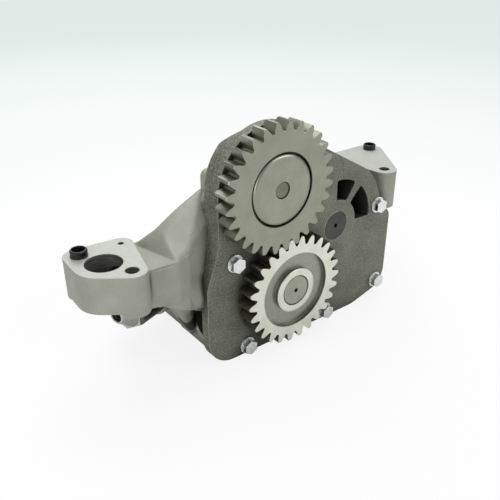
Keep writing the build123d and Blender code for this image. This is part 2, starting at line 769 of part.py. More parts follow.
with BuildPart() as idler_bush:
    along_y(idler_axis, bush_radius, idler_recess_depth, gear_width)
    along_y(
        idler_axis, pin_journal_radius + running_clearance,
        idler_recess_depth, gear_width, Mode.SUBTRACT,
    )
idler_bush.part.label = "idler_bush"
export_step(idler_bush.part, "parts/idler_bush.step")

with BuildPart() as idler_thrust_washer:
    along_y(idler_axis, thrust_washer_radius, gear_width + thrust_gap, cover_front)
    along_y(
        idler_axis, pin_journal_radius + seat_clearance,
        gear_width + thrust_gap, cover_front, Mode.SUBTRACT,
    )
idler_thrust_washer.part.label = "idler_thrust_washer"
export_step(idler_thrust_washer.part, "parts/idler_thrust_washer.step")

# Drive gear: its tooth stands in the idler's space that lies nearest the line of centres
space_offset = (idler_space_bearing - mesh_bearing) % (360 / idler_teeth)
if space_offset > 180 / idler_teeth:
    space_offset = space_offset - 360 / idler_teeth
drive_first_tooth = mesh_bearing + 180 - space_offset * idler_teeth / drive_teeth
key_outside = shaft_radius - key_depth_in_shaft + key_height
drive_key_front = 3.0
with BuildPart() as drive_gear:
    gear_blank(
        drive_teeth, timing_module, timing_pressure_angle, timing_backlash, tip_clearance, 0.0,
        drive_first_tooth, drive_axis, 0.0, gear_width,
    )
    chamfered_tips(drive_tip, drive_axis, 0.0, gear_width)
    with BuildSketch(facing(gear_web_depth)) as web:
        with Locations(drive_axis):
            Circle(gear_web_outer)
            Circle(gear_web_inner, mode=Mode.SUBTRACT)
    extrude(web.sketch, amount=gear_web_depth, mode=Mode.SUBTRACT)
    along_y(drive_axis, shaft_radius + seat_clearance, 0.0, gear_width, Mode.SUBTRACT)
    key_slot(drive_axis, 1, drive_key_front, gear_width, 0.0, key_outside)
drive_gear.part.label = "drive_gear"
export_step(drive_gear.part, "parts/drive_gear.step")

with BuildPart() as drive_spacer:
    along_y(drive_axis, spacer_radius, gear_width, cover_front - spacer_gap)
    along_y(drive_axis, shaft_radius + seat_clearance, gear_width, cover_front - spacer_gap, Mode.SUBTRACT)
drive_spacer.part.label = "drive_spacer"
export_step(drive_spacer.part, "parts/drive_spacer.step")

# Shafts with their keyways and centre drillings
rotor_front = chamber_front + rotor_side_clearance
rotor_back = rotor_front + rotor_width
rotor_key_margin = 12.0
shaft_end_gap = 0.6
rotor_key_inside = shaft_radius - key_depth_in_shaft


def shaft(axis, y_front, key_spans):
    """A shaft with chamfered ends, centre drillings and closed keyways on its +X side."""
    y_end = bush_back - shaft_end_gap
    with BuildPart() as bar:
        along_y(axis, shaft_radius, y_front, y_end)
        chamfer(bar.edges().filter_by(GeomType.CIRCLE), length=shaft_chamfer)
        along_y(axis, centre_drill_radius, y_front, y_front + 4.0, Mode.SUBTRACT)
        along_y(axis, centre_drill_radius, y_end - 4.0, y_end, Mode.SUBTRACT)
        for y_from, y_to in key_spans:
            key_slot(axis, 1, y_from, y_to, rotor_key_inside, shaft_radius + 1)
    return bar.part


def key(axis, y_from, y_to):
    """A parallel key that fills the keyway of a shaft."""
    with BuildPart() as block:
        key_slot(axis, 1, y_from, y_to, rotor_key_inside, key_outside - 0.1, Mode.ADD)
    return block.part


rotor_key_span = (rotor_front + rotor_key_margin, rotor_back - rotor_key_margin)
drive_key_span = (drive_key_front, gear_width - 1.0)
with BuildPart() as drive_shaft:
    add(shaft(drive_axis, 0.0, [drive_key_span, rotor_key_span]))
drive_shaft.part.label = "drive_shaft"
export_step(drive_shaft.part, "parts/drive_shaft.step")

with BuildPart() as driven_shaft:
    add(shaft(driven_axis, cover_front, [rotor_key_span]))
driven_shaft.part.label = "driven_shaft"
export_step(driven_shaft.part, "parts/driven_shaft.step")

with BuildPart() as drive_gear_key:
    add(key(drive_axis, *drive_key_span))
drive_gear_key.part.label = "drive_gear_key"
export_step(drive_gear_key.part, "parts/drive_gear_key.step")

with BuildPart() as driving_rotor_key:
    add(key(drive_axis, *rotor_key_span))
driving_rotor_key.part.label = "driving_rotor_key"
export_step(driving_rotor_key.part, "parts/driving_rotor_key.step")

with BuildPart() as driven_rotor_key:
    add(key(driven_axis, *rotor_key_span))
driven_rotor_key.part.label = "driven_rotor_key"
export_step(driven_rotor_key.part, "parts/driven_rotor_key.step")

# Pump rotors: a tooth of the driving one stands in a space of the driven one
rotor_half_pitch = 180 / rotor_teeth


def rotor(axis, first_tooth):
    """A pump rotor: a short wide gear with a keyed bore."""
    with BuildPart() as wheel:
        gear_blank(
            rotor_teeth, rotor_module, rotor_pressure_angle, rotor_backlash,
            rotor_root_clearance, root_relief, first_tooth, axis, rotor_front, rotor_back,
        )
        along_y(axis, shaft_radius + seat_clearance, rotor_front, rotor_back, Mode.SUBTRACT)
        key_slot(axis, 1, rotor_front, rotor_back, 0.0, key_outside)
    return wheel.part


with BuildPart() as driving_rotor:
    add(rotor(drive_axis, rotor_bearing))
driving_rotor.part.label = "driving_rotor"
export_step(driving_rotor.part, "parts/driving_rotor.step")

with BuildPart() as driven_rotor:
    add(rotor(driven_axis, rotor_bearing + 180 + rotor_half_pitch))
driven_rotor.part.label = "driven_rotor"
export_step(driven_rotor.part, "parts/driven_rotor.step")


def rear_bush(axis):
    """A plain bush in the housing's rear wall."""
    with BuildPart() as bush:
        along_y(axis, bush_outer, chamber_back, bush_back)
        along_y(axis, shaft_radius + running_clearance, chamber_back, bush_back, Mode.SUBTRACT)
    return bush.part


with BuildPart() as drive_rear_bush:
    add(rear_bush(drive_axis))
drive_rear_bush.part.label = "drive_rear_bush"
export_step(drive_rear_bush.part, "parts/drive_rear_bush.step")

with BuildPart() as driven_rear_bush:
    add(rear_bush(driven_axis))
driven_rear_bush.part.label = "driven_rear_bush"
export_step(driven_rear_bush.part, "parts/driven_rear_bush.step")

# Fasteners and dowels
with BuildPart() as cover_bolts:
    for place in bolt_places:
        flanged_bolt(place, cover_front, cover_plate_thickness + bolt_grip_in_housing)
cover_bolts.part.label = "cover_bolts"
export_step(cover_bolts.part, "parts/cover_bolts.step")

with BuildPart() as lug_bolt:
    along_y(lug_place, lug_screw_radius - seat_clearance, rim_back - lug_screw_grip + 2.0, lug_seat)
    along_y(lug_place, lug_head_radius, lug_seat, lug_seat + lug_head_height)
    with BuildSketch(facing(lug_seat + lug_head_height)) as socket:
        with Locations(lug_place):
            RegularPolygon(lug_socket_flats / 2, 6, major_radius=False)
    extrude(socket.sketch, amount=lug_socket_depth, mode=Mode.SUBTRACT)
lug_bolt.part.label = "lug_bolt"
export_step(lug_bolt.part, "parts/lug_bolt.step")

with BuildPart() as cover_dowels:
    for place in dowel_places:
        along_y(
            place, dowel_radius - seat_clearance,
            plate_back - dowel_length / 2 + 0.5, plate_back + dowel_length / 2 - 0.5,
        )
cover_dowels.part.label = "cover_dowels"
export_step(cover_dowels.part, "parts/cover_dowels.step")


def foot_sleeve(place):
    """A hollow dowel that stands out of a foot and lets its bolt through."""
    with BuildPart() as sleeve:
        upright(place, sleeve_radius, foot_top - sleeve_below, foot_top + sleeve_above)
        chamfer(sleeve.faces().sort_by(Axis.Z)[-1].edges(), length=sleeve_chamfer)
        upright(place, foot_bolt_radius, foot_top - sleeve_below, foot_top + sleeve_above, Mode.SUBTRACT)
    return sleeve.part


with BuildPart() as left_foot_sleeve:
    add(foot_sleeve(left_foot_sleeve_place))
left_foot_sleeve.part.label = "left_foot_sleeve"
export_step(left_foot_sleeve.part, "parts/left_foot_sleeve.step")

with BuildPart() as right_foot_sleeve:
    add(foot_sleeve(right_foot_sleeve_place))
right_foot_sleeve.part.label = "right_foot_sleeve"
export_step(right_foot_sleeve.part, "parts/right_foot_sleeve.step")

# Relief valve
cap_hex_end = valve_cap_cone + valve_cap_hex_length
cap_spigot_end = cap_hex_end + valve_cap_spigot
with BuildPart() as relief_valve_cap:
    with BuildSketch(valve_plane(cap_hex_end)) as cap_hexagon:
        RegularPolygon(valve_cap_flats / 2, 6, major_radius=False)
    extrude(cap_hexagon.sketch, amount=valve_cap_hex_length)
    with BuildSketch(valve_plane(valve_cap_cone)) as cone_foot:
        Circle(valve_cap_flats / 2 - 0.5)
    with BuildSketch(valve_plane(0.0)) as cone_nose:
        Circle(valve_rim_radius)
    loft([cone_foot.sketch, cone_nose.sketch])
    along_valve(valve_body_bore - seat_clearance, cap_hex_end, cap_spigot_end)
    along_valve(valve_mouth_radius, 0.0, cap_spigot_end, Mode.SUBTRACT)
relief_valve_cap.part.label = "relief_valve_cap"
export_step(relief_valve_cap.part, "parts/relief_valve_cap.step")

with BuildPart() as relief_valve_body:
    along_valve(valve_body_radius, cap_hex_end, valve_shoulder)
    along_valve(valve_thread_radius - seat_clearance, valve_shoulder, valve_inner_end)
    along_valve(valve_body_bore, cap_hex_end, valve_seat, Mode.SUBTRACT)
    along_valve(valve_seat_radius, valve_seat, valve_inner_end, Mode.SUBTRACT)
relief_valve_body.part.label = "relief_valve_body"
export_step(relief_valve_body.part, "parts/relief_valve_body.step")

with BuildPart() as relief_valve_washer:
    along_valve(valve_body_radius + 1.0, valve_shoulder, valve_face)
    along_valve(valve_thread_radius + 0.2, valve_shoulder, valve_face, Mode.SUBTRACT)
relief_valve_washer.part.label = "relief_valve_washer"
export_step(relief_valve_washer.part, "parts/relief_valve_washer.step")

spring_outer = valve_body_bore - piston_wall - spring_clearance
with BuildPart() as relief_piston:
    along_valve(valve_body_bore - piston_clearance, piston_back, valve_seat)
    along_valve(valve_body_bore - piston_wall, piston_back, valve_seat - piston_crown, Mode.SUBTRACT)
relief_piston.part.label = "relief_piston"
export_step(relief_piston.part, "parts/relief_piston.step")

spring_near = cap_spigot_end + spring_wire / 2
spring_far = valve_seat - piston_crown - spring_wire / 2
spring_mean = spring_outer - spring_wire / 2
with BuildPart() as relief_spring:
    coil = Helix(
        pitch=(spring_far - spring_near) / spring_turns,
        height=spring_far - spring_near,
        radius=spring_mean,
    ).moved(Location(valve_plane(spring_far)))
    with BuildSketch(Plane(origin=coil @ 0, z_dir=coil % 0)) as wire:
        Circle(spring_wire / 2)
    sweep(wire.sketch, path=coil, is_frenet=True)
relief_spring.part.label = "relief_spring"
export_step(relief_spring.part, "parts/relief_spring.step")
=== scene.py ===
import json
from math import cos, radians, sin

import bmesh
import bpy
from mathutils import Matrix, Vector


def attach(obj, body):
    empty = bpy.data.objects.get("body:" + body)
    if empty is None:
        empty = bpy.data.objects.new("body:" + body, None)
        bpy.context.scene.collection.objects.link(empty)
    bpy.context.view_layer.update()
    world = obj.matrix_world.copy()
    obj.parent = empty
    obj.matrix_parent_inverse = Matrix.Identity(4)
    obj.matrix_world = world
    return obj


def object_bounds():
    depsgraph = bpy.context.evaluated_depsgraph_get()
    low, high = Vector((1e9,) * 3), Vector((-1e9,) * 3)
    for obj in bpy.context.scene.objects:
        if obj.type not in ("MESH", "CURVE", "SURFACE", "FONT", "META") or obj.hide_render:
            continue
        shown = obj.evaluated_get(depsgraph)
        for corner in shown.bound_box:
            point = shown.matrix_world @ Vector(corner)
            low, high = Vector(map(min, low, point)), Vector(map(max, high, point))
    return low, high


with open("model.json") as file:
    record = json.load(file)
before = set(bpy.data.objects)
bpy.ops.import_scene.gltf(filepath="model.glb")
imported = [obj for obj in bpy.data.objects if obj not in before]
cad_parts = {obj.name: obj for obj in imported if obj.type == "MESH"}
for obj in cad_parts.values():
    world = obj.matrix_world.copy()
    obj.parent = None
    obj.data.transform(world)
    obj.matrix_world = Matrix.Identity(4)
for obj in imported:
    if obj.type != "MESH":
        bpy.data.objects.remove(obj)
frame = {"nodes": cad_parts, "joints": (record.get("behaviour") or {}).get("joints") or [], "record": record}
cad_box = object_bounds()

# The camera, fitted to the photograph: where it stands, in metres, and how it looks
CAMERA_PLACE = Vector((-0.3263, -0.3770, 0.2040))
CAMERA_TURN = -37.65
CAMERA_ELEVATION = 27.67
FOCAL_PIXELS = 630.5
IMAGE_PIXELS = 500
SENSOR_WIDTH = 36.0
NEAREST_SEEN = 0.01
FURTHEST_SEEN = 50.0

# The frame's directions, as places in a list
X, Y, Z = 0, 1, 2

MM_PER_METRE = 1000
JOINTS = {joint["name"]: joint for joint in frame["joints"]}
MOUNTS = {mount["name"]: mount for mount in frame["record"]["mounts"]}


def hinge_axis(name):
    """Where a hinge that runs along Y lies, as X and Z in metres."""
    place = JOINTS[name]["pos_m"]
    return place[X], place[Z]


def bore_radius(name):
    return MOUNTS[name]["dims"]["r_mm"] / MM_PER_METRE


IDLER_AXIS = hinge_axis("idler_spin")
DRIVE_AXIS = hinge_axis("drive_spin")
DRIVEN_AXIS = hinge_axis("driven_spin")

# What the mounts give: the feet's milled tops, the holes in them and the suction mouth
FOOT_TOP = MOUNTS["left_foot_face"]["pos_m"][Z]
FOOT_HOLES = ["delivery_port", "left_foot_bolt", "foot_oil_hole", "right_foot_bolt"]
SUCTION_AXIS = MOUNTS["suction_mouth"]["pos_m"][Y:]
SUCTION_RADIUS = bore_radius("suction_mouth")

# Faces and radii of the part, in metres, that bound a change of colour
COVER_FRONT = 0.018
WEB_DEPTH = 0.004
WEB_INNER = 0.0225
WEB_OUTER = 0.0385
SHAFT_RADIUS = 0.015
DRIVE_ROOT = 0.047
PIN_HEAD_RADIUS = 0.0318
PIN_HEAD_GAP = 0.001
PIN_RECESS_RADIUS = PIN_HEAD_RADIUS + PIN_HEAD_GAP
PIN_BORE_RADIUS = 0.0074
WINDOW_INNER = 0.0265
WINDOW_OUTER = 0.0476
WINDOW_DEPTH = 0.024
SUCTION_FACE = -0.055
SUCTION_DEPTH = 0.060
SUCTION_RIM_RADIUS = 0.0172
SUCTION_RIM_DEPTH = 0.0015

FLOOR_LEVEL = cad_box[0][Z]

# How far a colour reaches past the face or edge that bounds it, in metres
HAIR = 0.0003

# Samples per point for rounded edges and for how open a place is
EDGE_SAMPLES = 6
OPENNESS_SAMPLES = 8

# The sockets of a mix node that take and give colours
FIRST_COLOUR, SECOND_COLOUR, MIXED_COLOUR = 6, 7, 2

# Colours of the aluminium casting and of what is cut into it
CAST_SHADE = (0.270, 0.275, 0.235)
CAST_LIGHT = (0.345, 0.350, 0.305)
CAST_OLIVE = (0.310, 0.318, 0.262)
CAST_BRIGHT_GRAIN = (0.430, 0.435, 0.390)
CAST_DARK_GRAIN = (0.165, 0.170, 0.140)
# Painted shade for the casting's corners and hollows
CAST_PAINTED_SHADE = (0.110, 0.112, 0.095)
CAST_RUBBED = (0.540, 0.545, 0.500)
# Painted shade inside the drilled holes, in two tones for the tool rings
DRILLED_SHADE = (0.085, 0.087, 0.078)
DRILLED_LIGHT = (0.190, 0.192, 0.175)
SUCTION_RIM = (0.560, 0.565, 0.530)
# Painted shade for the inside of the suction bore
SUCTION_BORE_PAINTED_SHADE = (0.050, 0.051, 0.045)
MILLED_SHADE = (0.315, 0.319, 0.292)
MILLED_LIGHT = (0.415, 0.420, 0.388)
# Painted light that brightens the right foot's milled top
MILLED_PAINTED_LIGHT = (0.850, 0.855, 0.810)
CAST_METALLIC = 0.55
MILLED_METALLIC_LOSS = 0.40

# Colours of the iron cover
IRON_SHADE = (0.120, 0.125, 0.093)
IRON_LIGHT = (0.185, 0.190, 0.148)
IRON_BRIGHT_GRAIN = (0.320, 0.325, 0.278)
IRON_DARK_GRAIN = (0.045, 0.047, 0.035)
IRON_PIT = (0.050, 0.052, 0.040)
# Painted shade for the cover's hollows and the places under the gears
IRON_PAINTED_SHADE = (0.018, 0.018, 0.015)
IRON_RUBBED = (0.420, 0.425, 0.380)
# Painted shade that fills the blind windows in the cover
WINDOW_PAINTED_SHADE = (0.022, 0.022, 0.020)

# Tones of the steels and platings, each a light and a dark colour
OLIVE = ((0.310, 0.318, 0.255), (0.235, 0.242, 0.190))
SILVER = ((0.720, 0.726, 0.630), (0.565, 0.571, 0.488))
OILY = ((0.300, 0.300, 0.285), (0.200, 0.200, 0.190))
DARK = ((0.078, 0.078, 0.072), (0.042, 0.042, 0.040))
WARM = ((0.360, 0.365, 0.300), (0.265, 0.270, 0.215))
# Painted shade: the sunk plug's tones are darker than the pin's
SUNK_PLUG_SHADE = ((0.200, 0.205, 0.160), (0.130, 0.134, 0.102))
SPRING = ((0.30, 0.31, 0.33), (0.20, 0.21, 0.22))
ZINC = ((0.88, 0.89, 0.89), (0.60, 0.61, 0.61))
ALLOY = ((0.52, 0.52, 0.48), (0.36, 0.36, 0.33))
PLATING_RUBBED = (0.92, 0.93, 0.93)
OXIDE_DARK = (0.012, 0.012, 0.012)
OXIDE_LIGHT = (0.035, 0.035, 0.036)
# Rubbed-through wear and a painted highlight at the rims of the black steel
OXIDE_WEAR_AND_PAINTED_HIGHLIGHT = (0.36, 0.36, 0.35)
BRONZE_DARK = (0.36, 0.26, 0.12)
BRONZE_LIGHT = (0.50, 0.38, 0.19)

# Colours of the rings, joints and flanks on the gears and shafts, with painted shade, shadow and highlight
# among them
# Painted shadow in the groove round the idler's pin head
RECESS_PAINTED_SHADOW = (0.022, 0.022, 0.019)
# Painted shadow round the plug at the mouth of the pin's bore
PLUG_BORE_SHADOW = (0.040, 0.041, 0.032)
WEB_FLOOR = (0.270, 0.276, 0.230)
# Painted shade on the walls of the drive gear's sunk web
WEB_WALL_PAINTED_SHADE = (0.150, 0.152, 0.128)
SHAFT_JOINT = (0.110, 0.112, 0.095)
# Painted highlight: the floor's reflection in the driven shaft's chamfer
SHAFT_RIM_PAINTED_HIGHLIGHT = (0.420, 0.425, 0.400)
# An oily brown tint with painted shade for the drive gear's tooth flanks
FLANK_OIL_AND_PAINTED_SHADE = (0.052, 0.040, 0.035)


def camera_axes():
    """The camera's right, up and backward directions."""
    turn = radians(CAMERA_TURN)
    lift = radians(CAMERA_ELEVATION)
    backward = Vector((sin(turn) * cos(lift), -cos(turn) * cos(lift), sin(lift)))
    right = Vector((cos(turn), sin(turn), 0.0))
    return right, backward.cross(right), backward


def make_camera():
    right, up, backward = camera_axes()
    data = bpy.data.cameras.new("camera")
    data.sensor_width = SENSOR_WIDTH
    data.lens = FOCAL_PIXELS / IMAGE_PIXELS * SENSOR_WIDTH
    data.clip_start = NEAREST_SEEN
    data.clip_end = FURTHEST_SEEN
    camera = bpy.data.objects.new("camera", data)
    turn = Matrix((right, up, backward)).transposed().to_4x4()
    camera.matrix_world = Matrix.Translation(CAMERA_PLACE) @ turn
    bpy.context.scene.collection.objects.link(camera)
    bpy.context.scene.camera = camera


def scaled(colour, factor):
    """A colour made lighter or darker, up to white."""
    return tuple(min(1.0, part * factor) for part in colour)


def add_node(tree, kind, inputs=None, **settings):
    """A new shader node. Each input is a plain value or another node's output."""
    node = tree.nodes.new(kind)
    for key, value in settings.items():
        setattr(node, key, value)
    for key, value in (inputs or {}).items():
        if isinstance(value, bpy.types.NodeSocket):
            tree.links.new(value, node.inputs[key])
        else:
            node.inputs[key].default_value = value
    return node


class Surface:
    """A node material built up in small steps on one Principled shader."""

    def __init__(self, name, metallic=0.0):
        self.material = bpy.data.materials.new(name)
        self.material.use_nodes = True
        self.tree = self.material.node_tree
        self.shader = self.tree.nodes["Principled BSDF"]
        self.shader.inputs["Metallic"].default_value = metallic
        self.place = self.add("ShaderNodeTexCoord").outputs["Object"]
        self.geometry = self.add("ShaderNodeNewGeometry")

    def add(self, kind, inputs=None, **settings):
        return add_node(self.tree, kind, inputs, **settings)

    def math(self, operation, first, second=0.0):
        return self.add("ShaderNodeMath", {0: first, 1: second}, operation=operation).outputs[0]

    def both(self, first, *others):
        """1 where all of these are 1, and less where one of them is less."""
        for other in others:
            first = self.math("MULTIPLY", first, other)
        return first

    def below(self, value, limit):
        return self.math("LESS_THAN", value, limit)

    def above(self, value, limit):
        return self.math("GREATER_THAN", value, limit)

    def coordinate(self, index):
        """How far along X, Y or Z a point lies."""
        return self.add("ShaderNodeSeparateXYZ", {0: self.place}).outputs[index]

    def noise(self, size, detail=3.0, roughness=0.55, where=None):
        """A noise whose features are about this large, in metres."""
        inputs = {
            "Vector": where or self.place,
            "Scale": 1 / size,
            "Detail": detail,
            "Roughness": roughness,
        }
        return self.add("ShaderNodeTexNoise", inputs).outputs["Fac"]

    def remap(self, value, low, high, to_low=0.0, to_high=1.0):
        inputs = {
            "Value": value,
            "From Min": low,
            "From Max": high,
            "To Min": to_low,
            "To Max": to_high,
        }
        return self.add("ShaderNodeMapRange", inputs, clamp=True).outputs["Result"]

    def mix(self, factor, first, second):
        """From the first colour, where the factor is 0, to the second, where it is 1."""
        inputs = {"Factor": factor}
        for socket, colour in ((FIRST_COLOUR, first), (SECOND_COLOUR, second)):
            plain = not isinstance(colour, bpy.types.NodeSocket)
            inputs[socket] = (*colour, 1.0) if plain else colour
        return self.add("ShaderNodeMix", inputs, data_type="RGBA").outputs[MIXED_COLOUR]

    def edges(self, radius, low=0.02, high=0.25):
        """How near a point is to a sharp edge, from 0 to 1."""
        soft = self.add("ShaderNodeBevel", {"Radius": radius}, samples=EDGE_SAMPLES)
        inputs = {0: soft.outputs[0], 1: self.geometry.outputs["Normal"]}
        turn = self.add("ShaderNodeVectorMath", inputs, operation="DOT_PRODUCT")
        away = self.math("SUBTRACT", 1.0, turn.outputs["Value"])
        return self.remap(away, low, high)

    def openness(self, distance):
        """How open a point is to its surroundings, 0 deep in a corner and 1 in the open."""
        inputs = {"Distance": distance}
        return self.add("ShaderNodeAmbientOcclusion", inputs, samples=OPENNESS_SAMPLES).outputs["AO"]

    def radius(self, axis, along=Y):
        """The distance from an axis that runs along X, Y or Z."""
        centre = [*axis]
        centre.insert(along, 0.0)
        across = [1.0, 1.0]
        across.insert(along, 0.0)
        away = self.add("ShaderNodeVectorMath", {0: self.place, 1: centre}, operation="SUBTRACT")
        inputs = {0: away.outputs[0], 1: across}
        flat = self.add("ShaderNodeVectorMath", inputs, operation="MULTIPLY")
        length = self.add("ShaderNodeVectorMath", {0: flat.outputs[0]}, operation="LENGTH")
        return length.outputs["Value"]

    def turned(self, axis, pitch):
        """Fine turning rings round an axis along Y, as a height from 0 to 1."""
        inputs = {"W": self.radius(axis), "Scale": 1 / pitch, "Detail": 2.0, "Roughness": 0.7}
        return self.add("ShaderNodeTexNoise", inputs, noise_dimensions="1D").outputs["Fac"]

    def stretched(self, scale):
        """The place, stretched unequally along X, Y and Z, for brushed or milled lines."""
        inputs = {0: self.place, 1: scale}
        return self.add("ShaderNodeVectorMath", inputs, operation="MULTIPLY").outputs[0]

    def facing(self, index, low=0.90, high=0.97):
        """1 where the surface looks along this axis of the frame, either way."""
        parts = self.add("ShaderNodeSeparateXYZ", {0: self.geometry.outputs["True Normal"]})
        return self.remap(self.math("ABSOLUTE", parts.outputs[index]), low, high)

    def near(self, index, value, reach):
        """1 where the place lies within this reach of a plane of the frame."""
        away = self.math("ABSOLUTE", self.math("SUBTRACT", self.coordinate(index), value))
        return self.below(away, reach)

    def zone(self, axis, inner, outer, front, back):
        """1 in a ring round an axis along Y, between two radii and two depths."""
        away = self.radius(axis)
        depth = self.coordinate(Y)
        return self.both(
            self.above(away, inner), self.below(away, outer),
            self.above(depth, front), self.below(depth, back),
        )

    def chamfer(self, axis, inner, outer):
        """A height that falls from 1 to 0 between two radii, on faces that look along Y."""
        fall = self.remap(self.radius(axis), inner, outer, 1.0, 0.0)
        return self.both(fall, self.facing(Y))

    def colour(self, value):
        self.tree.links.new(value, self.shader.inputs["Base Color"])

    def metal(self, value):
        self.tree.links.new(value, self.shader.inputs["Metallic"])

    def rough(self, value):
        self.tree.links.new(value, self.shader.inputs["Roughness"])

    def relief(self, *layers, edge):
        """Bump layers of (height, depth in metres), on a normal rounded at the edges."""
        normal = self.add("ShaderNodeBevel", {"Radius": edge}, samples=EDGE_SAMPLES).outputs[0]
        for height, depth in layers:
            inputs = {"Height": height, "Distance": depth, "Strength": 1.0, "Normal": normal}
            normal = self.add("ShaderNodeBump", inputs).outputs[0]
        self.tree.links.new(normal, self.shader.inputs["Normal"])


def cast_aluminium():
    """Blasted casting, with milled faces on top of the feet, painted shade in its hollows, holes and suction
    bore, and painted light on the right foot's top.
    """
    s = Surface("cast_aluminium")
    grain = s.noise(0.0011, 4.0, 0.62)
    fine = s.noise(0.00042, 2.0, 0.6)
    blotch = s.noise(0.026, 3.0, 0.5)
    wash = s.noise(0.09, 2.0, 0.5)
    base = s.mix(s.remap(blotch, 0.32, 0.68), CAST_SHADE, CAST_LIGHT)
    base = s.mix(s.remap(wash, 0.35, 0.65, 0.0, 0.45), base, CAST_OLIVE)
    base = s.mix(s.remap(grain, 0.56, 0.74, 0.0, 0.5), base, CAST_BRIGHT_GRAIN)
    base = s.mix(s.remap(grain, 0.42, 0.26, 0.0, 0.6), base, CAST_DARK_GRAIN)
    # Painted shade: the casting is made darker where it is closed in
    base = s.mix(s.remap(s.openness(0.014), 0.85, 0.25, 0.0, 0.55), base, CAST_PAINTED_SHADE)
    base = s.mix(s.remap(s.edges(0.0011), 0.0, 1.0, 0.0, 0.5), base, CAST_RUBBED)

    # Drilled holes in the feet, with tool rings down their walls and painted shade inside them
    inside_foot = s.below(s.coordinate(Z), FOOT_TOP - HAIR)
    rings = s.noise(0.0011, 2.0, 0.6, s.stretched((0.05, 0.05, 1.0)))
    painted_hole_shade = s.mix(s.remap(rings, 0.35, 0.65), DRILLED_SHADE, DRILLED_LIGHT)
    for name in FOOT_HOLES:
        away = s.radius(MOUNTS[name]["pos_m"][:Z], along=Z)
        in_hole = s.below(away, bore_radius(name) + HAIR)
        base = s.mix(s.both(in_hole, inside_foot), base, painted_hole_shade)

    # The suction mouth: a bright rim round a bore painted dark as painted shade
    away = s.radius(SUCTION_AXIS, along=X)
    at_face = s.near(X, SUCTION_FACE, SUCTION_RIM_DEPTH + 0.0004)
    rim = s.both(s.below(away, SUCTION_RIM_RADIUS + 0.0006), at_face)
    in_bore = s.below(away, SUCTION_RADIUS + 0.0002)
    painted_mouth_shade = s.both(in_bore, s.near(X, SUCTION_FACE, SUCTION_DEPTH))
    base = s.mix(rim, base, SUCTION_RIM)
    base = s.mix(painted_mouth_shade, base, SUCTION_BORE_PAINTED_SHADE)

    # The milled tops of the feet, with painted light that makes the right one brighter
    milled = s.both(s.near(Z, FOOT_TOP, HAIR), s.facing(Z))
    lines = s.noise(0.0007, 2.0, 0.5, s.stretched((1.0, 0.06, 1.0)))
    milled_and_painted_light = s.mix(s.remap(lines, 0.3, 0.7), MILLED_SHADE, MILLED_LIGHT)
    # Painted light: the milled tops grow lighter towards +X
    milled_and_painted_light = s.mix(s.remap(s.coordinate(X), 0.0, 0.1, 0.0, 0.21), milled_and_painted_light, MILLED_PAINTED_LIGHT)
    s.colour(s.mix(milled, base, milled_and_painted_light))
    s.metal(s.math("SUBTRACT", CAST_METALLIC, s.math("MULTIPLY", milled, MILLED_METALLIC_LOSS)))
    blasted = s.math("SUBTRACT", 1.0, milled)
    blasted_roughness = s.both(s.remap(grain, 0.3, 0.7, 0.50, 0.66), blasted)
    milled_roughness = s.both(s.remap(lines, 0.3, 0.7, 0.34, 0.46), milled)
    s.rough(s.math("ADD", blasted_roughness, milled_roughness))
    depth = s.math("SUBTRACT", 1.0, s.math("MULTIPLY", milled, 0.92))
    s.relief(
        (s.both(s.noise(0.006, 3.0, 0.5), depth), 0.00035),
        (s.both(grain, depth), 0.00034),
        (s.both(fine, depth), 0.00009),
        edge=0.0009,
    )
    return s.material


def cast_iron():
    """Dark grainy iron casting with rubbed edges, painted shade in its hollows and windows painted black as
    painted shade.
    """
    s = Surface("cast_iron", metallic=0.45)
    grain = s.noise(0.0015, 3.0, 0.75)
    coarse = s.noise(0.0042, 3.0, 0.6)
    blotch = s.noise(0.024, 3.0, 0.55)
    base = s.mix(s.remap(blotch, 0.32, 0.68), IRON_SHADE, IRON_LIGHT)
    base = s.mix(s.remap(grain, 0.52, 0.66, 0.0, 0.80), base, IRON_BRIGHT_GRAIN)
    base = s.mix(s.remap(grain, 0.48, 0.34, 0.0, 0.80), base, IRON_DARK_GRAIN)
    base = s.mix(s.remap(coarse, 0.42, 0.28, 0.0, 0.5), base, IRON_PIT)
    # Painted shade: the iron is made darker where it is closed in
    base = s.mix(s.remap(s.openness(0.024), 0.80, 0.2, 0.0, 0.9), base, IRON_PAINTED_SHADE)
    base = s.mix(s.remap(s.edges(0.0012), 0.0, 1.0, 0.0, 0.85), base, IRON_RUBBED)
    # Painted shade inside the windows round the driven shaft
    window_shade = s.zone(
        DRIVEN_AXIS,
        WINDOW_INNER - 0.001,
        WINDOW_OUTER + 0.001,
        COVER_FRONT + 0.002,
        COVER_FRONT + WINDOW_DEPTH + 0.001,
    )
    s.colour(s.mix(s.math("MULTIPLY", window_shade, 0.86), base, WINDOW_PAINTED_SHADE))
    s.rough(s.remap(grain, 0.3, 0.7, 0.42, 0.62))
    s.relief((coarse, 0.0006), (grain, 0.0008), edge=0.0008)
    return s.material


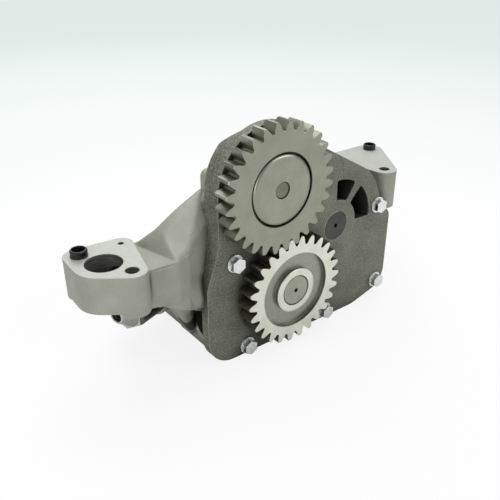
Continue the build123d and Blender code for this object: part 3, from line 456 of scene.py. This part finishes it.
def ground_steel(name, axis, tones, roughness, rings=0.00055, wear=0.5, zones=(), chamfers=(), flanks=None):
    """Turned and ground steel: rings round an axis, tiny scratches, rubbed edges and painted shade in the
    hollows.

    The tones are its light and its dark colour.
    A zone is a ring of another colour: its two radii, its two depths and the colour.
    A chamfer is a rounded rim on a flat face: its two radii and its depth.
    The flanks are what does not look along Y outside a radius: that radius and their colour.
    """
    light, dark = tones
    s = Surface(name, metallic=0.92)
    ring = s.turned(axis, rings)
    cloud = s.noise(0.017, 3.0, 0.55)
    speck = s.noise(0.0009, 3.0, 0.6)
    face = s.facing(Y)
    lay = s.both(s.remap(ring, 0.3, 0.7), face)
    base = s.mix(s.remap(cloud, 0.30, 0.70), dark, light)
    base = s.mix(s.math("MULTIPLY", lay, 0.30), base, scaled(light, 1.35))
    base = s.mix(s.remap(speck, 0.40, 0.24, 0.0, 0.45), base, scaled(dark, 0.45))
    # Painted shade: the steel is made darker where it is closed in
    base = s.mix(s.remap(s.openness(0.006), 0.80, 0.2, 0.0, 0.6), base, scaled(dark, 0.25))
    base = s.mix(s.remap(s.edges(0.0006), 0.0, 1.0, 0.0, wear), base, scaled(light, 1.7))
    for inner, outer, front, back, tone in zones:
        shade = s.mix(s.remap(speck, 0.35, 0.65), tone, scaled(tone, 1.25))
        base = s.mix(s.zone(axis, inner, outer, front, back), base, shade)
    if flanks:
        root, tone = flanks
        # Oily tint with painted shade on the flanks
        oil_and_painted_shade = s.both(s.above(s.radius(axis), root), s.math("SUBTRACT", 0.85, face))
        base = s.mix(s.math("MAXIMUM", oil_and_painted_shade, 0.0), base, tone)
    s.colour(base)
    s.rough(s.remap(cloud, 0.3, 0.7, roughness - 0.05, roughness + 0.08))
    rims = [(s.chamfer(axis, inner, outer), fall) for inner, outer, fall in chamfers]
    s.relief(*rims, (s.both(ring, face), 0.000018), (speck, 0.000020), edge=0.0004)
    return s.material


def plated(name, tones, roughness):
    """Bright plating or bare alloy, slightly cloudy, in a light and a dark tone, with painted shade in the
    hollows.
    """
    light, dark = tones
    s = Surface(name, metallic=1.0)
    cloud = s.noise(0.0035, 3.0, 0.6)
    base = s.mix(s.remap(cloud, 0.3, 0.7), dark, light)
    # Painted shade: the plating is made darker where it is closed in
    base = s.mix(s.remap(s.openness(0.004), 0.75, 0.2, 0.0, 0.5), base, scaled(dark, 0.3))
    s.colour(s.mix(s.remap(s.edges(0.0005), 0.0, 1.0, 0.0, 0.5), base, PLATING_RUBBED))
    s.rough(s.remap(cloud, 0.3, 0.7, roughness, roughness + 0.12))
    s.relief((s.noise(0.0012, 2.0, 0.5), 0.000008), edge=0.0003)
    return s.material


def black_oxide():
    """Black oxide on turned steel, rubbed through a little at the rims, with a painted highlight along them.
    """
    s = Surface("black_steel", metallic=0.6)
    cloud = s.noise(0.004, 3.0, 0.6)
    base = s.mix(s.remap(cloud, 0.3, 0.7), OXIDE_DARK, OXIDE_LIGHT)
    # Wear and painted highlight: the rims are made lighter
    s.colour(s.mix(s.remap(s.edges(0.0005), 0.0, 1.0, 0.0, 0.40), base, OXIDE_WEAR_AND_PAINTED_HIGHLIGHT))
    s.rough(s.remap(cloud, 0.3, 0.7, 0.20, 0.34))
    s.relief((s.noise(0.0007, 2.0, 0.5), 0.00002), edge=0.0004)
    return s.material


def bearing_bronze():
    s = Surface("bush_bronze", metallic=1.0)
    cloud = s.noise(0.005, 3.0, 0.6)
    s.colour(s.mix(s.remap(cloud, 0.3, 0.7), BRONZE_DARK, BRONZE_LIGHT))
    s.rough(s.remap(cloud, 0.3, 0.7, 0.30, 0.42))
    s.relief((s.noise(0.0006, 2.0, 0.5), 0.00002), edge=0.0003)
    return s.material


def pin_steel():
    """The idler's pin: a rounded head with a painted shadow round the plug."""
    # Painted shadow in the ring round the plug's bore
    joint = (PIN_BORE_RADIUS - 0.0005, PIN_BORE_RADIUS + 0.0004, -0.001, 0.010, PLUG_BORE_SHADOW)
    head_rim = (PIN_HEAD_RADIUS - 0.0022, PIN_HEAD_RADIUS, 0.0011)
    return ground_steel(
        "pin_steel", IDLER_AXIS, OLIVE, 0.30, rings=0.0008, zones=[joint], chamfers=[head_rim],
    )


def drive_gear_steel():
    """The drive gear: bright faces, a sunk grey web with painted shade on its walls, a joint round the
    shaft, and oiled flanks darkened with painted shade.
    """
    inner = WEB_INNER - HAIR
    outer = WEB_OUTER + HAIR
    wall_end = WEB_DEPTH - 0.0004
    zones = [
        (inner, outer, wall_end, WEB_DEPTH + 0.0004, WEB_FLOOR),
        # Painted shade on the web's walls
        (inner, outer, HAIR, wall_end, WEB_WALL_PAINTED_SHADE),
        (SHAFT_RADIUS - 0.0002, SHAFT_RADIUS + 0.0006, -0.001, 0.001, SHAFT_JOINT),
    ]
    return ground_steel(
        "gear_steel", DRIVE_AXIS, SILVER, 0.34, rings=0.0007, wear=0.7, zones=zones,
        chamfers=[(WEB_INNER - 0.0014, WEB_INNER, 0.0006)],
        flanks=(DRIVE_ROOT - 0.001, FLANK_OIL_AND_PAINTED_SHADE),
    )


# Painted shadow in the groove round the idler's pin head
recess_shadow = (PIN_RECESS_RADIUS - 0.0004, PIN_RECESS_RADIUS + 0.0010, -0.001, 0.006, RECESS_PAINTED_SHADOW)
# Painted highlight round the driven shaft's end
painted_rim_highlight = (SHAFT_RADIUS - 0.0006, SHAFT_RADIUS + 0.0002, 0.010, COVER_FRONT + 0.0006, SHAFT_RIM_PAINTED_HIGHLIGHT)
casting = cast_aluminium()
zinc = plated("zinc_steel", ZINC, 0.18)
black = black_oxide()
bronze = bearing_bronze()
plain_steel = ground_steel("plain_steel", DRIVE_AXIS, SILVER, 0.36)

FINISHES = {
    "pump_housing": casting,
    "front_cover": cast_iron(),
    "idler_gear": ground_steel("idler_steel", IDLER_AXIS, OLIVE, 0.36, zones=[recess_shadow]),
    "idler_pin": pin_steel(),
    # The plug is painted darker as painted shade at the bottom of its bore
    "idler_pin_plug": ground_steel("plug_steel", IDLER_AXIS, SUNK_PLUG_SHADE, 0.38),
    "idler_pin_washer": zinc,
    "idler_pin_bolt": zinc,
    "idler_thrust_washer": plain_steel,
    "idler_bush": bronze,
    "drive_gear": drive_gear_steel(),
    "drive_shaft": ground_steel("shaft_steel", DRIVE_AXIS, WARM, 0.36),
    "drive_spacer": plain_steel,
    "drive_gear_key": plain_steel,
    "driven_shaft": ground_steel("dark_steel", DRIVEN_AXIS, DARK, 0.34, rings=0.0008, zones=[painted_rim_highlight]),
    "driving_rotor": ground_steel("rotor_steel", DRIVE_AXIS, OILY, 0.30),
    "driven_rotor": ground_steel("driven_rotor_steel", DRIVEN_AXIS, OILY, 0.30),
    "driving_rotor_key": plain_steel,
    "driven_rotor_key": plain_steel,
    "drive_rear_bush": bronze,
    "driven_rear_bush": bronze,
    "cover_bolts": zinc,
    "lug_bolt": zinc,
    "cover_dowels": plain_steel,
    "left_foot_sleeve": black,
    "right_foot_sleeve": black,
    "relief_valve_cap": plated("bright_alloy", ALLOY, 0.34),
    "relief_valve_body": black,
    "relief_valve_washer": plain_steel,
    "relief_piston": plain_steel,
    "relief_spring": ground_steel("spring_steel", IDLER_AXIS, SPRING, 0.35),
}

# The cast skin over the left arm, as convex blocks that melt into one another. Their corners
# are in millimetres, mostly just outside the arm's solids, read from the photograph.
ARM_NOSE = [
    (-127, 10.8, -41), (-101, 9.6, -41), (-87, 15.2, -41), (-52, 39, -41), (-52, 62, -41),
    (-127, 62, -41), (-127, 10.8, -76), (-101, 9.6, -78), (-87, 15.2, -78), (-52, 39, -78),
    (-52, 62, -78), (-127, 62, -76),
]
ARM_BAND = [
    (-113, 60, -39.5), (-101, 10, -40), (-97, 50, -26), (-97, 36.5, -27.5), (-86.5, 17.5, -36.5),
    (-97, 60, -36), (-113, 60, -60), (-101, 12, -60), (-86.5, 17.5, -60), (-86, 60, -60),
    (-112, 69, -62), (-97, 82, -62), (-86, 86, -62),
]
ARM_SLOPE = [
    (-97, 50, -26), (-97, 36.5, -27.5), (-86.5, 17.5, -36.5), (-66, 29, -60), (-80, 50.5, -15.8),
    (-48, 50.5, 0), (-48, 35, -20), (-48, 35, -76), (-66, 29, -76), (-84, 60, -30), (-48, 62, -10),
    (-86.5, 17.5, -60), (-97, 82, -62), (-80, 88.5, -62), (-48, 99, -62),
]
ARM_GUSSET = [
    (-119, 12, -72), (-101, 9.6, -72), (-87, 15.2, -72), (-52, 39, -72), (-112, 68, -72),
    (-103, 12, -86), (-61, 31, -111), (-50, 31, -111), (-83, 67, -119.5), (-58, 67, -119.5),
    (-50, 68, -115),
]
ARM_FIN = [
    (-103, 12, -84), (-95, 12, -78), (-83, 67, -115), (-57.5, 66.5, -161), (-83, 73, -115),
    (-57.5, 73, -161), (-58, 66.5, -121), (-50, 67, -115), (-50, 67, -161), (-50, 73, -115),
    (-50, 73, -161),
]
SKIN_GRAIN = 0.0015
SKIN_SMOOTHING = 10


def melted(name, blocks):
    """Convex blocks joined into one skin with soft corners."""
    shape = bmesh.new()
    for block in blocks:
        corners = [shape.verts.new([part / MM_PER_METRE for part in corner]) for corner in block]
        bmesh.ops.convex_hull(shape, input=corners)
    mesh = bpy.data.meshes.new(name)
    shape.to_mesh(mesh)
    shape.free()
    piece = bpy.data.objects.new(name, mesh)
    bpy.context.scene.collection.objects.link(piece)
    remesh = piece.modifiers.new("remesh", "REMESH")
    remesh.mode = "VOXEL"
    remesh.voxel_size = SKIN_GRAIN
    remesh.use_smooth_shade = True
    smooth = piece.modifiers.new("smooth", "SMOOTH")
    smooth.factor = 0.5
    smooth.iterations = SKIN_SMOOTHING
    return piece


arm_skin = melted("left_arm_skin", [ARM_NOSE, ARM_BAND, ARM_SLOPE, ARM_GUSSET, ARM_FIN])
arm_skin.data.materials.append(casting)
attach(arm_skin, "pump_body")

for node_name, node in frame["nodes"].items():
    for slot in node.material_slots:
        slot.link = "OBJECT"
        slot.material = FINISHES[node_name]

# The studio: a floor that is white near the part and cool far off, and an even sky.
# Distances are in metres and lamps in watts.
FLOOR_REACH = 12.0
FLOOR_NEAR = (0.99, 0.99, 0.99, 1.0)
FLOOR_FAR = (0.81, 0.905, 0.875, 1.0)
FLOOR_MATT = (0.80, 0.80, 0.80, 1.0)
FLOOR_GLOW = 0.85
FADE_START = 0.45
FADE_END = 1.8
SKY = (0.78, 0.80, 0.80, 1.0)
SKY_STRENGTH = 0.55
BACKDROP = (0.76, 0.84, 0.815, 1.0)

# Each lamp's name, place, aim, power and width
LAMPS = [
    ("top_light", (0.1, 0.2, 1.3), (0.0, 0.05, -0.1), 14.5, 1.3),
    ("left_light", (-1.2, -0.5, 0.6), (0.0, 0.0, -0.1), 4.8, 0.9),
    ("low_light", (-0.9, -0.6, 0.0), (-0.1, 0.0, -0.1), 2.5, 0.6),
    ("right_light", (0.9, -1.1, 0.6), (0.0, 0.0, -0.1), 6.2, 0.8),
    ("back_light", (0.4, 1.3, 0.8), (0.0, 0.0, -0.1), 6.0, 1.0),
]


def floor_material():
    """A matt floor that the camera sees mostly as its own even colour."""
    material = bpy.data.materials.new("floor")
    material.use_nodes = True
    tree = material.node_tree
    tree.nodes.clear()
    place = add_node(tree, "ShaderNodeTexCoord").outputs["Object"]
    away = add_node(tree, "ShaderNodeVectorMath", {0: place}, operation="LENGTH").outputs["Value"]
    reach = {"Value": away, "From Min": FADE_START, "From Max": FADE_END}
    fade = add_node(tree, "ShaderNodeMapRange", reach).outputs["Result"]
    tints = {"Factor": fade, FIRST_COLOUR: FLOOR_NEAR, SECOND_COLOUR: FLOOR_FAR}
    tint = add_node(tree, "ShaderNodeMix", tints, data_type="RGBA").outputs[MIXED_COLOUR]
    matt = add_node(tree, "ShaderNodeBsdfDiffuse", {"Color": FLOOR_MATT}).outputs[0]
    glow = add_node(tree, "ShaderNodeEmission", {"Color": tint}).outputs[0]
    rays = add_node(tree, "ShaderNodeLightPath").outputs["Is Camera Ray"]
    seen = add_node(tree, "ShaderNodeMath", {0: rays, 1: FLOOR_GLOW}, operation="MULTIPLY").outputs[0]
    shader = add_node(tree, "ShaderNodeMixShader", {0: seen, 1: matt, 2: glow}).outputs[0]
    add_node(tree, "ShaderNodeOutputMaterial", {"Surface": shader})
    return material


def make_floor():
    mesh = bpy.data.meshes.new("floor")
    reach = FLOOR_REACH
    corners = [(-reach, -reach), (reach, -reach), (reach, reach), (-reach, reach)]
    mesh.from_pydata([(x, y, FLOOR_LEVEL) for x, y in corners], [], [(0, 1, 2, 3)])
    mesh.materials.append(floor_material())
    floor = bpy.data.objects.new("floor", mesh)
    bpy.context.scene.collection.objects.link(floor)


def make_lamp(name, place, aim, watts, width):
    data = bpy.data.lights.new(name, "AREA")
    data.energy = watts
    data.size = width
    lamp = bpy.data.objects.new(name, data)
    lamp.location = place
    lamp.rotation_euler = (Vector(aim) - Vector(place)).to_track_quat("-Z", "Y").to_euler()
    bpy.context.scene.collection.objects.link(lamp)


def make_sky():
    """An even sky for the light, and a cool pale backdrop for the camera."""
    world = bpy.data.worlds.new("sky")
    world.use_nodes = True
    tree = world.node_tree
    sky = tree.nodes["Background"]
    sky.inputs["Color"].default_value = SKY
    sky.inputs["Strength"].default_value = SKY_STRENGTH
    backdrop = add_node(tree, "ShaderNodeBackground", {"Color": BACKDROP}).outputs[0]
    rays = add_node(tree, "ShaderNodeLightPath").outputs["Is Camera Ray"]
    shader = add_node(tree, "ShaderNodeMixShader", {0: rays, 1: sky.outputs[0], 2: backdrop})
    tree.links.new(shader.outputs[0], tree.nodes["World Output"].inputs["Surface"])
    bpy.context.scene.world = world


make_camera()
make_floor()
for lamp in LAMPS:
    make_lamp(*lamp)
make_sky()
bpy.context.scene.view_settings.view_transform = "Standard"
